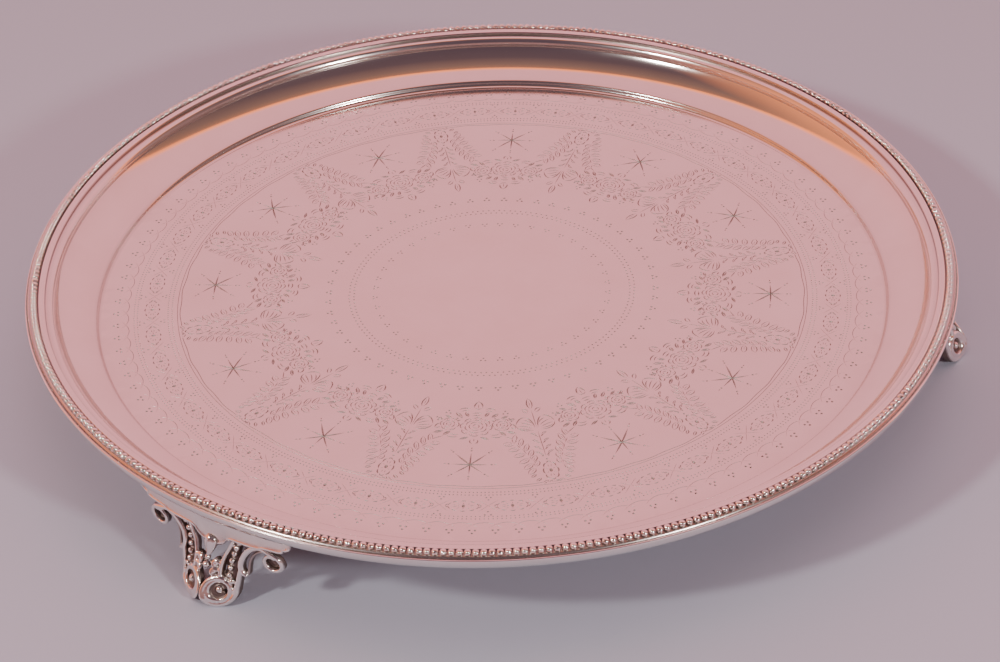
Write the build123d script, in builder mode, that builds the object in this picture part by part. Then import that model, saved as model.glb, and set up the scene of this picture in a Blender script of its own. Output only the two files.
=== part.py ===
from build123d import *

import os
from math import radians, tan

# Footed silver salver: a flat round tray with a raised moulded border, a beaded edge and three
# scroll feet. Millimetres. +Z is up, Z = 0 is the plane the feet stand on, and the Z axis is the
# axis of the tray. The feet stand at 0, 120 and 240 degrees round that axis.

# ---------------------------------------------------------------- driving dimensions
OUTER_RADIUS = 152.4          # 12 inch salver
FLOOR_TOP = 21.0              # top of the well floor above the table
SHEET = 1.2                   # thickness of the tray sheet
WELL_RADIUS = 128.9           # flat floor of the well

BORDER_RISE = 11.9            # top of the flange above the well floor
FLANGE_RADIUS = 151.0         # edge of the tray sheet, inside the rim wire

MOULDING_INNER = 141.9        # where the border moulding meets the cavetto
MOULDING_STEP = 145.9         # small upright step of the moulding
MOULDING_OUTER = 148.0
MOULDING_RISE = 13.65         # flat top of the moulding above the well floor

BEAD_COUNT = 400
BEAD_RADIUS = 1.13
BEAD_RING_RADIUS = 149.45
BEAD_RISE = 13.55             # bead centres above the well floor
BEAD_SEAT_TOP = 12.8

FOOT_COUNT = 3
FOOT_LEAN = 25.3              # the foot leans outwards towards its toe
FOOT_SWEEP = 10.6             # each half turns back from the middle ridge
RIDGE_TOE_RADIUS = 157.6      # middle ridge of the foot at the table
CASTING = 2.6                 # front to back thickness of the foot's scrolls

BAND = 1.9                    # width of the outer scroll's band
SPUR = (12.6, 13.2)           # points in the plane of a half foot: out from the ridge, up the lean
VOLUTE_TOP = (21.3, 25.0)
LEG_WIDTH = 4.6               # width of the pearled leg
TOE_CENTRE = (5.4, 5.3)       # large volute that the foot stands on
TOE_RADIUS = 5.1
TOE_EYE = 2.9
TOE_EYE_DEPTH = 1.2
TOE_PEARL = 1.3
PEARL = 0.95                  # pearls set along the leg
PEARLS = ((9.2, 22.6), (8.2, 19.9), (7.4, 17.1), (7.0, 14.3))

PAD_INNER = 146.3             # curved plate between the foot and the flange
PAD_OUTER = 148.6
PAD_HALF_ANGLE = 11.0
PAD_LOWER_HALF_ANGLE = 9.9
PAD_LOWEST_HALF_ANGLE = 6.9
PAD_TONGUE_HALF_ANGLE = 2.0
PAD_STEP_1 = 24.2
PAD_STEP_2 = 23.0
PAD_BOTTOM = 22.0
TONGUE_BOTTOM = 19.4

BUD_TIP = (0, 23.4)
BUD_THICKNESS = 2.4
BUD_CURL_X = 3.1              # two small curls that join the bud to the legs
BUD_CURL_Y = 12.9
BUD_CURL_RADIUS = 1.9
BUD_PEARL_Y = 11.2
BUD_PEARL_RADIUS = 1.3

os.makedirs("parts", exist_ok=True)


def at(radius, rise):
    """A point of a turned profile: radius, and height above the top of the well floor."""
    return (radius, FLOOR_TOP + rise)


# ---------------------------------------------------------------- tray sheet
# Top of the sheet: floor, small ogee step, shallow shelf, cavetto and flange. The underside follows it.
with BuildPart() as tray_sheet:
    with BuildSketch(Plane.XZ):
        with BuildLine():
            Line(at(0, 0), at(WELL_RADIUS, 0))
            ThreePointArc(at(WELL_RADIUS, 0), at(129.7, 0.35), at(130.1, 1.1))
            ThreePointArc(at(130.1, 1.1), at(130.5, 1.75), at(131.3, 2.0))
            Line(at(131.3, 2.0), at(133.6, 2.3))
            ThreePointArc(at(133.6, 2.3), at(140.6, 5.9), at(144.7, 11.4))
            Line(at(144.7, 11.4), at(145.3, BORDER_RISE))
            Line(at(145.3, BORDER_RISE), at(FLANGE_RADIUS, BORDER_RISE))
            Line(at(FLANGE_RADIUS, BORDER_RISE), at(FLANGE_RADIUS, BORDER_RISE - SHEET))
            Line(at(FLANGE_RADIUS, BORDER_RISE - SHEET), at(145.9, BORDER_RISE - SHEET))
            ThreePointArc(at(145.9, BORDER_RISE - SHEET), at(141.4, 5.0), at(134.2, 1.15))
            Line(at(134.2, 1.15), at(132.0, 0.85))
            ThreePointArc(at(132.0, 0.85), at(131.2, 0.45), at(130.9, -0.2))
            ThreePointArc(at(130.9, -0.2), at(130.2, -0.95), at(129.2, -SHEET))
            Line(at(129.2, -SHEET), at(0, -SHEET))
            Line(at(0, -SHEET), at(0, 0))
        make_face()
    revolve(axis=Axis.Z)
tray_sheet.part.label = "tray_sheet"
export_step(tray_sheet.part, "parts/tray_sheet.step")

# ---------------------------------------------------------------- border moulding
# An applied ring: a soft roll on the cavetto, a hollow, an upright step and a flat top band.
with BuildPart() as border_moulding:
    with BuildSketch(Plane.XZ):
        with BuildLine():
            Line(at(142.3, 6.8), at(MOULDING_INNER, 7.0))
            ThreePointArc(at(MOULDING_INNER, 7.0), at(142.0, 8.9), at(143.1, 10.3))
            ThreePointArc(at(143.1, 10.3), at(144.4, 11.5), at(145.3, 12.9))
            Line(at(145.3, 12.9), at(MOULDING_STEP, 12.9))
            Line(at(MOULDING_STEP, 12.9), at(MOULDING_STEP, MOULDING_RISE))
            Line(at(MOULDING_STEP, MOULDING_RISE), at(MOULDING_OUTER, MOULDING_RISE))
            Line(at(MOULDING_OUTER, MOULDING_RISE), at(MOULDING_OUTER, BORDER_RISE))
            Line(at(MOULDING_OUTER, BORDER_RISE), at(145.7, BORDER_RISE - 0.6))
            Line(at(145.7, BORDER_RISE - 0.6), at(144.1, 9.0))
            Line(at(144.1, 9.0), at(142.3, 6.8))
        make_face()
    revolve(axis=Axis.Z)
    add(tray_sheet.part, mode=Mode.SUBTRACT)
border_moulding.part.label = "border_moulding"
export_step(border_moulding.part, "parts/border_moulding.step")

# ---------------------------------------------------------------- rim wire
# A plain wire closed over the edge of the sheet; its outer wall slopes in towards the bottom.
with BuildPart() as rim_wire:
    with BuildSketch(Plane.XZ):
        with BuildLine():
            Line(at(149.9, BORDER_RISE - SHEET), at(150.1, 10.1))
            Line(at(150.1, 10.1), at(151.2, 10.0))
            Line(at(151.2, 10.0), at(OUTER_RADIUS, 12.4))
            Line(at(OUTER_RADIUS, 12.4), at(152.2, 12.9))
            Line(at(152.2, 12.9), at(151.6, 13.1))
            Line(at(151.6, 13.1), at(FLANGE_RADIUS, 12.8))
            Line(at(FLANGE_RADIUS, 12.8), at(FLANGE_RADIUS, BORDER_RISE - SHEET))
            Line(at(FLANGE_RADIUS, BORDER_RISE - SHEET), at(149.9, BORDER_RISE - SHEET))
        make_face()
    revolve(axis=Axis.Z)
rim_wire.part.label = "rim_wire"
export_step(rim_wire.part, "parts/rim_wire.step")

# ---------------------------------------------------------------- bead border
# A cast strip of beads, soldered on the flange between the moulding and the rim wire.
with BuildPart() as bead_border:
    with BuildSketch(Plane.XY.offset(FLOOR_TOP + BORDER_RISE)):
        Circle(FLANGE_RADIUS)
        Circle(MOULDING_OUTER, mode=Mode.SUBTRACT)
    extrude(amount=BEAD_SEAT_TOP - BORDER_RISE)
    with Locations(Plane.XY.offset(FLOOR_TOP + BEAD_RISE)):
        with PolarLocations(BEAD_RING_RADIUS, BEAD_COUNT):
            Sphere(BEAD_RADIUS)
bead_border.part.label = "bead_border"
export_step(bead_border.part, "parts/bead_border.step")

# ---------------------------------------------------------------- feet
# Each foot is a shaped plate under the flange, two mirrored openwork scrolls and a bud between them.
# The scrolls lean outwards towards the toe, and each one turns back a little from the middle ridge.


def foot_plane(azimuth, side, sweep):
    """Middle plane of a casting: Y runs up the leaning ridge, X out from it, origin at the table.

    side is +1 for the half anticlockwise of the ridge seen from above, and -1 for the other half.
    The plane's normal points away from the tray for +1 and towards it for -1.
    """
    outward = Vector(1, 0, 0).rotate(Axis.Z, azimuth)
    across = Vector(0, 1, 0).rotate(Axis.Z, azimuth) * side
    swept = across - outward * tan(radians(sweep))
    up = Vector(0, 0, 1) - outward * tan(radians(FOOT_LEAN))
    normal = swept.cross(up)
    return Plane(origin=outward * RIDGE_TOE_RADIUS, x_dir=up.cross(normal), z_dir=normal)


def pad_layer(azimuth, half_angle, low, high):
    """One step of the foot's plate: its section turned through twice its half angle."""
    with BuildSketch(Plane.XZ.rotated((0, 0, azimuth - half_angle))) as section:
        with Locations(((PAD_INNER + PAD_OUTER) / 2, (low + high) / 2)):
            Rectangle(PAD_OUTER - PAD_INNER, high - low)
    revolve(section.sketch, axis=Axis.Z, revolution_arc=2 * half_angle)


for number in range(FOOT_COUNT):
    azimuth = number * 360 / FOOT_COUNT
    foot = "foot_" + str(number + 1)

    with BuildPart() as pad:
        pad_layer(azimuth, PAD_HALF_ANGLE, PAD_STEP_1, FLOOR_TOP + BORDER_RISE - SHEET)
        pad_layer(azimuth, PAD_LOWER_HALF_ANGLE, PAD_STEP_2, PAD_STEP_1)
        pad_layer(azimuth, PAD_LOWEST_HALF_ANGLE, PAD_BOTTOM, PAD_STEP_2)
        pad_layer(azimuth, PAD_TONGUE_HALF_ANGLE, TONGUE_BOTTOM, PAD_BOTTOM)
    pad.part.label = foot + "_pad"
    export_step(pad.part, "parts/" + foot + "_pad.step")

    halves = []
    for side, hand in ((1, "left"), (-1, "right")):
        middle = foot_plane(azimuth, side, FOOT_SWEEP)
        front = middle.offset(side * CASTING / 2)
        with BuildPart() as scroll:
            with BuildSketch(middle):
                # outer scroll: spur, C-shaped rise, peak under the plate, then the small volute
                with BuildLine():
                    Spline(SPUR, (10.8, 16.3), (11.2, 20.5), (13.8, 24.0), (17.4, 25.7), VOLUTE_TOP)
                    ThreePointArc(VOLUTE_TOP, (24.5, 21.8), (21.3, 18.6))
                    ThreePointArc((21.3, 18.6), (18.8, 20.3), (19.6, 22.3))
                trace(line_width=BAND)
                # pearled leg, running down into the large volute of the toe
                with BuildLine():
                    Spline((10.6, 25.7), (8.8, 21.7), (7.3, 17.1), (7.0, 12.6), (7.4, 8.6))
                trace(line_width=LEG_WIDTH)
                with Locations(TOE_CENTRE):
                    Circle(TOE_RADIUS)
            extrude(amount=CASTING / 2, both=True)
            with BuildSketch(front):
                with Locations(TOE_CENTRE):
                    Circle(TOE_EYE)
            extrude(amount=-side * TOE_EYE_DEPTH, mode=Mode.SUBTRACT)
            with Locations(front):
                with Locations(*[(x, y, 0) for x, y in PEARLS]):
                    Sphere(PEARL)
            with Locations(front.offset(-side * TOE_EYE_DEPTH)):
                with Locations((*TOE_CENTRE, 0)):
                    Sphere(TOE_PEARL)
            split(bisect_by=Plane.XY, keep=Keep.TOP)
            add(pad.part, mode=Mode.SUBTRACT)
        scroll.part.label = foot + "_" + hand + "_scroll"
        export_step(scroll.part, "parts/" + foot + "_" + hand + "_scroll.step")
        halves.append(scroll.part)

    with BuildPart() as bud:
        with BuildSketch(foot_plane(azimuth, 1, 0)):
            with BuildLine():
                Spline(BUD_TIP, (1.9, 20.6), (2.2, 17.6), (1.0, 14.8), (0.9, 13.4))
                Line((0.9, 13.4), (0, 13.4))
                Line((0, 13.4), BUD_TIP)
            make_face()
            mirror(about=Plane.YZ)
            with Locations((-BUD_CURL_X, BUD_CURL_Y), (BUD_CURL_X, BUD_CURL_Y)):
                Circle(BUD_CURL_RADIUS)
            with Locations((0, BUD_CURL_Y)):
                Rectangle(2 * BUD_CURL_X, 1.6)
            with Locations((0, BUD_PEARL_Y)):
                Circle(BUD_PEARL_RADIUS)
        extrude(amount=BUD_THICKNESS / 2, both=True)
        add(halves, mode=Mode.SUBTRACT)
        add(pad.part, mode=Mode.SUBTRACT)
    bud.part.label = foot + "_bud"
    export_step(bud.part, "parts/" + foot + "_bud.step")
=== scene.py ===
# %% [markdown]
# # A footed silver salver
# A salver is a flat silver tray for handing drinks or cards. This one has a round well with engraved
# flowers, a small curved wall, a border of tiny beads and three cast scroll feet. Each piece below
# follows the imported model, which fixes every size, and adds the detail a silversmith would.

import math
import random

import bmesh
import bpy
from mathutils import Matrix, Vector
from mathutils.geometry import delaunay_2d_cdt


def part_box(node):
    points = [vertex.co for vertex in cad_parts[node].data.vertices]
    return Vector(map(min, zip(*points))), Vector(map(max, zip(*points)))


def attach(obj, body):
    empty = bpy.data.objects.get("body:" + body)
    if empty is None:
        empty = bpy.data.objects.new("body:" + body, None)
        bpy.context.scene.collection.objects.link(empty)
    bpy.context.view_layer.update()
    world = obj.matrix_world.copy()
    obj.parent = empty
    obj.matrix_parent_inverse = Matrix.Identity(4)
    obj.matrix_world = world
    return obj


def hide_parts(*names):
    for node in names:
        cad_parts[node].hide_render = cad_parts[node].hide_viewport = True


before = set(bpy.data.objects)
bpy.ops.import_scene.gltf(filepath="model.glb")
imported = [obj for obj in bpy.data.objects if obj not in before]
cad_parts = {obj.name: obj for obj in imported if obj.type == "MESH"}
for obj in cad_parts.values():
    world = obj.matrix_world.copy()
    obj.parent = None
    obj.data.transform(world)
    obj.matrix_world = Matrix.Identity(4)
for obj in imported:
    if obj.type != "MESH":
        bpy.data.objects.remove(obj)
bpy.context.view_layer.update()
MM = 0.001
TAU = math.tau

# %% [markdown]
# ## Measures taken from the model
# The height of the well floor comes from the tray's own box in the model. The profiles further down are
# written in millimetres, as the model has them: a radius, and a height above the well floor.

# %% Main measures
FLANGE_RISE = 11.9            # top of the tray's flange above the well floor
tray_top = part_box("tray_sheet")[1][2]
rim_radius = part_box("rim_wire")[1][0]
FLOOR_Z = tray_top - FLANGE_RISE * MM
print("well floor at", round(FLOOR_Z / MM, 2), "mm, rim radius", round(rim_radius / MM, 2), "mm")

# %% [markdown]
# ## Camera
# A long lens looks down on the tray at about thirty-six degrees, a little off the tray's axis, so the
# whole well shows and one foot stands at the front left.

# %% Set up the camera
VIEW_TURN = math.radians(5.45)
VIEW_HEIGHT = math.radians(36.07)
VIEW_ROLL = math.radians(-2.17)
VIEW_DISTANCE = 0.9283
LENS = 102.9
SENSOR = 36
aim = Vector((0.0044, -0.0231, FLOOR_Z))


def make_camera():
    """Camera placed by its angles round the point it is aimed at."""
    turn = Matrix.Rotation(VIEW_TURN, 3, "Z")
    back = turn @ Vector((0, -math.cos(VIEW_HEIGHT), math.sin(VIEW_HEIGHT)))
    right = turn @ Vector((1, 0, 0))
    up = back.cross(right)
    x_axis = right * math.cos(VIEW_ROLL) + up * math.sin(VIEW_ROLL)
    y_axis = back.cross(x_axis)
    data = bpy.data.cameras.new("camera")
    data.lens = LENS
    data.sensor_width = SENSOR
    data.clip_end = 20
    camera = bpy.data.objects.new("camera", data)
    bpy.context.scene.collection.objects.link(camera)
    place = Matrix((x_axis, y_axis, back)).transposed().to_4x4()
    place.translation = aim + back * VIEW_DISTANCE
    camera.matrix_world = place
    bpy.context.scene.camera = camera
    return camera


camera = make_camera()
print("camera at", [round(v, 3) for v in camera.matrix_world.translation])

# %% [markdown]
# ## Silver, clean and tarnished
# Polished silver is a metal shader with low roughness. What makes it look old is where it is not clean:
# fine scratches from years of polishing, a faint cloudiness, and brown tarnish that stays wherever a
# cloth can't reach. Each piece marks those places with a vertex attribute, and the shader mixes towards
# a dark, rough brown by it; on the beads the same attribute also holds painted shade on their lower halves.
# The engraved cuts carry a face attribute called "cut", which darkens them in the same way and takes away
# nearly all their shine.

# %% Silver shader
CLEAN = (0.93, 0.885, 0.86, 1)
CLOUDY = (0.84, 0.775, 0.73, 1)
TARNISH_AND_SHADE = (0.12, 0.078, 0.066, 1)
TARNISH_ROUGHNESS = 0.5
CUT_ROUGHNESS = 0.95


def silver(name, roughness, tarnish_and_shade_strength, scratch_scale, scratch_depth, wave_depth):
    """A silver material: cloudy polish, fine scratches, slow waviness, and a dark brown by attribute for
    tarnished metal and painted shade.
    """
    material = bpy.data.materials.new(name)
    material.use_nodes = True
    nodes = material.node_tree.nodes
    links = material.node_tree.links
    shader = nodes["Principled BSDF"]
    shader.inputs["Metallic"].default_value = 1
    place = nodes.new("ShaderNodeTexCoord").outputs["Object"]

    cloud = nodes.new("ShaderNodeTexNoise")
    cloud.inputs["Scale"].default_value = 55
    cloud.inputs["Detail"].default_value = 5
    cloud.inputs["Roughness"].default_value = 0.6
    links.new(place, cloud.inputs["Vector"])
    grain = nodes.new("ShaderNodeTexNoise")
    grain.inputs["Scale"].default_value = scratch_scale
    grain.inputs["Detail"].default_value = 3
    links.new(place, grain.inputs["Vector"])

    # colour: clean silver, a slightly duller cloud, then dark brown where an attribute asks for it: tarnished
    # metal, and painted shade on the beads
    tint = nodes.new("ShaderNodeMix")
    tint.data_type = "RGBA"
    tint.inputs["A"].default_value = CLEAN
    tint.inputs["B"].default_value = CLOUDY
    links.new(cloud.outputs["Fac"], tint.inputs["Factor"])
    mark = nodes.new("ShaderNodeAttribute")
    mark.attribute_name = "tarnish_and_shade"
    tarnish_and_shade_amount = nodes.new("ShaderNodeMath")
    tarnish_and_shade_amount.operation = "MULTIPLY"
    tarnish_and_shade_amount.inputs[1].default_value = tarnish_and_shade_strength
    links.new(mark.outputs["Fac"], tarnish_and_shade_amount.inputs[0])
    cut = nodes.new("ShaderNodeAttribute")
    cut.attribute_name = "cut"
    amount = nodes.new("ShaderNodeMath")
    amount.operation = "MAXIMUM"
    amount.use_clamp = True
    links.new(tarnish_and_shade_amount.outputs[0], amount.inputs[0])
    links.new(cut.outputs["Fac"], amount.inputs[1])
    colour = nodes.new("ShaderNodeMix")
    colour.data_type = "RGBA"
    colour.inputs["B"].default_value = TARNISH_AND_SHADE
    links.new(amount.outputs[0], colour.inputs["Factor"])
    links.new(tint.outputs["Result"], colour.inputs["A"])
    links.new(colour.outputs["Result"], shader.inputs["Base Color"])

    # roughness: the polish, up and down with the cloud, rougher in tarnish and almost matt in the cuts
    haze = nodes.new("ShaderNodeMapRange")
    haze.inputs["From Min"].default_value = 0.3
    haze.inputs["From Max"].default_value = 0.7
    haze.inputs["To Min"].default_value = roughness * 0.8
    haze.inputs["To Max"].default_value = roughness * 1.25
    links.new(cloud.outputs["Fac"], haze.inputs["Value"])
    dull = nodes.new("ShaderNodeMix")
    dull.inputs["B"].default_value = TARNISH_ROUGHNESS
    links.new(tarnish_and_shade_amount.outputs[0], dull.inputs["Factor"])
    links.new(haze.outputs["Result"], dull.inputs["A"])
    frosted = nodes.new("ShaderNodeMix")
    frosted.inputs["B"].default_value = CUT_ROUGHNESS
    links.new(cut.outputs["Fac"], frosted.inputs["Factor"])
    links.new(dull.outputs["Result"], frosted.inputs["A"])
    links.new(frosted.outputs["Result"], shader.inputs["Roughness"])

    # two layers of relief: slow waviness of hand-worked sheet, and fine polishing scratches
    wave = nodes.new("ShaderNodeTexNoise")
    wave.inputs["Scale"].default_value = 14
    wave.inputs["Detail"].default_value = 2
    links.new(place, wave.inputs["Vector"])
    slow = nodes.new("ShaderNodeBump")
    slow.inputs["Distance"].default_value = wave_depth
    links.new(wave.outputs["Fac"], slow.inputs["Height"])
    fine = nodes.new("ShaderNodeBump")
    fine.inputs["Distance"].default_value = scratch_depth
    links.new(grain.outputs["Fac"], fine.inputs["Height"])
    links.new(slow.outputs["Normal"], fine.inputs["Normal"])
    links.new(fine.outputs["Normal"], shader.inputs["Normal"])
    return material


sheet_silver = silver("sheet_silver", 0.075, 0.55, 900, 0.000003, 0.00006)
border_silver = silver("border_silver", 0.11, 0.8, 700, 0.000003, 0.00003)
bead_silver = silver("bead_silver", 0.09, 0.9, 700, 0.000002, 0.00001)
cast_silver = silver("cast_silver", 0.13, 0.9, 600, 0.000010, 0.00003)
print("materials:", [m.name for m in bpy.data.materials])

# %% [markdown]
# ## Turned pieces
# The wall of the tray, its border moulding and the rim wire are all round, so each one is a profile
# drawn at one side and spun about the Z axis. Points of a profile are a radius and a height above
# the well floor, in millimetres, with a third number that says how tarnished the metal is there.

# %% Spin a profile
TURN_STEPS = 360


def bend(start, middle, end, count):
    """Points of a curve through three places, without the first one, carrying the tarnish along."""
    corner = tuple(2 * m - (p + q) / 2 for p, m, q in zip(start, middle, end))
    points = []
    for i in range(1, count + 1):
        t = i / count
        a, b, c = (1 - t) ** 2, 2 * t * (1 - t), t * t
        points.append(tuple(a * p + b * q + c * s for p, q, s in zip(start, corner, end)))
    return points


def at_place(radius, rise):
    """A profile point given in mm as a place in metres, on the +X side."""
    return Vector((radius * MM, 0, FLOOR_Z + rise * MM))


def spin_profile(mesh, profile, closed=False):
    """Spins a profile into the bmesh, with its tarnish in a vertex layer."""
    layer = mesh.verts.layers.float.get("tarnish_and_shade") or mesh.verts.layers.float.new("tarnish_and_shade")
    points = [mesh.verts.new(at_place(r, z)) for r, z, t in profile]
    for vertex, (r, z, t) in zip(points, profile):
        vertex[layer] = t
    pairs = list(zip(points, points[1:]))
    if closed:
        pairs.append((points[-1], points[0]))
    edges = [mesh.edges.new(pair) for pair in pairs]
    bmesh.ops.spin(mesh, geom=points + edges, cent=(0, 0, 0), axis=(0, 0, 1), angle=TAU,
                   steps=TURN_STEPS, use_merge=True)


def finish_piece(name, mesh, material, replaced, smooth_angle=35):
    """Turns a bmesh into a piece: merged, facing outwards, smooth except at its real edges."""
    bmesh.ops.remove_doubles(mesh, verts=mesh.verts, dist=0.000004)
    bmesh.ops.recalc_face_normals(mesh, faces=mesh.faces)
    for face in mesh.faces:
        face.smooth = True
    for edge in mesh.edges:
        if len(edge.link_faces) == 2 and edge.calc_face_angle(0) > math.radians(smooth_angle):
            edge.smooth = False
    data = bpy.data.meshes.new(name)
    mesh.to_mesh(data)
    mesh.free()
    piece = bpy.data.objects.new(name, data)
    bpy.context.scene.collection.objects.link(piece)
    data.materials.append(material)
    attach(piece, "root")
    for node in replaced:
        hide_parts(node)
    triangles = sum(len(p.vertices) - 2 for p in data.polygons)
    print(name, "has", triangles, "triangles")
    return piece

# %% [markdown]
# ## Engraving: how a cut is drawn
# An engraver pushes a sharp graver through the sheet, so every line is a small V-shaped groove that
# starts thin, swells and ends thin. Here each cut is an outline with a keel line down its middle. All
# the outlines and keels are laid out flat, the floor is triangulated round them, and the keels are
# then pushed down, so the grooves are real and catch the light as they do on the tray.

# %% The drawing board
cut_points = []
cut_edges = []
cut_depths = []
CUT_SLOPE = 0.42              # depth of a groove against its width
CUT_DARK = 0.60               # most tarnish a groove can hold
hand = random.Random(7)


def add_outline(points):
    """Adds the outline of one cut as a closed loop and says where it starts."""
    first = len(cut_points)
    cut_points.extend(points)
    cut_depths.extend([0.0] * len(points))
    count = len(points)
    cut_edges.extend((first + i, first + (i + 1) % count) for i in range(count))
    return first


def pen(angle, radius, mirror=1):
    """Lays a motif on the well: its x runs round the tray and its y towards the centre, in mm."""
    def lay(x, y):
        a = angle + x * mirror / radius
        return Vector(((radius - y) * math.cos(a), (radius - y) * math.sin(a)))

    return lay


def stroke(lay, start, corner, end, width=0.34, steps=3):
    """A curved cut from start to end, pulled towards corner; it is widest in the middle."""
    path = []
    for i in range(steps + 1):
        t = i / steps
        x = (1 - t) ** 2 * start[0] + 2 * t * (1 - t) * corner[0] + t * t * end[0]
        y = (1 - t) ** 2 * start[1] + 2 * t * (1 - t) * corner[1] + t * t * end[1]
        path.append(lay(x, y))
    left, right, keel = [], [], []
    for i in range(1, steps):
        t = i / steps
        along = (path[i + 1] - path[i - 1]).normalized()
        swell = math.sin(math.pi * t) ** 0.6
        across = Vector((-along.y, along.x)) * width / 2 * swell
        left.append(path[i] + across)
        right.append(path[i] - across)
        keel.append((path[i], width * swell * CUT_SLOPE))
    first = add_outline([path[0], *left, path[-1], *reversed(right)])
    spine = [first]
    for point, depth in keel:
        spine.append(len(cut_points))
        cut_points.append(point)
        cut_depths.append(depth)
    spine.append(first + steps)
    cut_edges.extend(zip(spine, spine[1:]))


def dot(lay, x, y, radius=0.36, sides=6, tall=1.0):
    """A round pit, as a pointed punch leaves it."""
    ring = [lay(x + radius * math.cos(TAU * i / sides), y + radius * tall * math.sin(TAU * i / sides))
            for i in range(sides)]
    add_outline(ring)
    cut_points.append(lay(x, y))
    cut_depths.append(radius * 2 * CUT_SLOPE)


def straight(lay, start, end, width=0.34, steps=2):
    """A straight cut."""
    middle = ((start[0] + end[0]) / 2, (start[1] + end[1]) / 2)
    stroke(lay, start, middle, end, width, steps)


def leaf(lay, base, tip, bulge, width=0.34, rib=True):
    """A pointed leaf: a heavy side, a light side and a short rib."""
    along = Vector(tip) - Vector(base)
    side = Vector((-along.y, along.x)).normalized() * bulge
    middle = Vector(base) + along * 0.5
    stroke(lay, base, middle + side, tip, width * 1.25)
    stroke(lay, tip, middle - side, base, width * 0.9)
    if rib:
        straight(lay, Vector(base) + along * 0.12, Vector(base) + along * 0.68, width * 0.6)


def three_dots(lay, x, y, spread, radius=0.36, point_in=True):
    """Three pits in a triangle; the single one is on the side of the tray's centre or away from it."""
    sign = 1 if point_in else -1
    dot(lay, x, y + sign * spread * 0.62, radius)
    dot(lay, x - spread * 0.62, y - sign * spread * 0.38, radius)
    dot(lay, x + spread * 0.62, y - sign * spread * 0.38, radius)


def ring_cut(radius, width, wave=0.0, waves=0):
    """A fine line all the way round the well."""
    for offset, depth in ((-width / 2, 0), (0, width * CUT_SLOPE), (width / 2, 0)):
        first = len(cut_points)
        for i in range(TURN_STEPS):
            a = TAU * i / TURN_STEPS
            r = radius + offset + wave * math.sin(waves * a)
            cut_points.append(Vector((r * math.cos(a), r * math.sin(a))))
            cut_depths.append(depth)
        cut_edges.extend((first + i, first + (i + 1) % TURN_STEPS) for i in range(TURN_STEPS))


print("drawing board ready")

# %% [markdown]
# ## Engraving: the motifs
# The pattern repeats twelve times: an eight-rayed star, a bouquet with a rose, a spray with two ribbed
# leaves, and laurel branches that swing from bouquet to bouquet and meet over an oval flower. Each motif
# is a function of short cuts, drawn flat in millimetres, so one drawing serves all its repeats. Rings of
# dots, scallops and small florets have repeat counts of their own.

# %% Star
def star(lay):
    """Eight tapering rays cut from one centre, with a dot and a dash beyond each."""
    lengths = [length * hand.uniform(0.94, 1.06) for length in (6.3, 7.3, 5.6, 6.0, 4.7, 6.4, 5.6, 7.4)]

    def out(turn, distance):
        a = math.radians(turn)
        return math.sin(a) * distance, math.cos(a) * distance

    outline = []
    for i, length in enumerate(lengths):
        for turn, distance in ((-4.8, length * 0.5), (0, length), (4.8, length * 0.5), (22.5, 0.62)):
            outline.append(lay(*out(45 * i + turn, distance)))
    add_outline(outline)
    centre = len(cut_points)
    cut_points.append(lay(0, 0))
    cut_depths.append(0.36)
    for i, length in enumerate(lengths):
        for share, depth in ((0.22, 0.26), (0.6, 0.14)):
            cut_points.append(lay(*out(45 * i, length * share)))
            cut_depths.append(depth)
        last = len(cut_points) - 1
        tip = centre - len(outline) + 4 * i + 1
        cut_edges.extend(((centre, last - 1), (last - 1, last), (last, tip)))
        dot(lay, *out(45 * i, length + 0.9), radius=0.36)
        straight(lay, out(45 * i, length + 1.5), out(45 * i, length + 2.6), 0.4)


print("star drawn")

# %% Rose and bouquet
def ring_of_petals(lay, x, y, wide, tall, count, width, phase=0.0, lift=0.32):
    """Petal edges round a flower: short arcs that bulge outwards and meet in points."""
    for i in range(count):
        a, b = phase + TAU * i / count, phase + TAU * (i + 1) / count
        middle = (a + b) / 2
        start = (x + wide * math.cos(a), y + tall * math.sin(a))
        end = (x + wide * math.cos(b), y + tall * math.sin(b))
        corner = (x + wide * (1 + lift) * math.cos(middle), y + tall * (1 + lift) * math.sin(middle))
        stroke(lay, start, corner, end, width, steps=4)


def rose(lay, x, y, wide, tall):
    """An open rose: rings of petals turned against each other, and a coiled heart."""
    ring_of_petals(lay, x, y, wide, tall, 8, 0.42, 0.3, lift=0.36)
    ring_of_petals(lay, x, y + tall * 0.04, wide * 0.74, tall * 0.72, 6, 0.36, 0.9, lift=0.3)
    ring_of_petals(lay, x, y + tall * 0.08, wide * 0.48, tall * 0.48, 5, 0.34, 0.2, lift=0.3)
    ring_of_petals(lay, x, y + tall * 0.08, wide * 0.24, tall * 0.26, 3, 0.32, 1.1, lift=0.3)
    for i in range(8):
        a = 0.3 + TAU * (i + 0.5) / 8
        for spread in (-0.16, 0.16):
            c, s = math.cos(a + spread), math.sin(a + spread)
            straight(lay, (x + wide * 0.86 * c, y + tall * 0.86 * s),
                     (x + wide * 1.1 * c, y + tall * 1.1 * s), 0.2)


def side_flower(lay, x, y, size, side):
    """A smaller flower, half turned away: frilled edge, inner petals and a ribbed cup."""
    ring_of_petals(lay, x, y, 2.7 * size, 2.7 * size, 6, 0.4, 0.5, lift=0.36)
    ring_of_petals(lay, x + 0.2 * side, y, 1.7 * size, 1.6 * size, 5, 0.36, 0.1)
    ring_of_petals(lay, x + 0.3 * side, y, 0.8 * size, 0.8 * size, 3, 0.32, 0.0)
    for i in range(6):
        a = 0.5 + TAU * (i + 0.5) / 6
        straight(lay, (x + 2.0 * size * math.cos(a), y + 2.0 * size * math.sin(a)),
                 (x + 2.9 * size * math.cos(a), y + 2.9 * size * math.sin(a)), 0.22)


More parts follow.
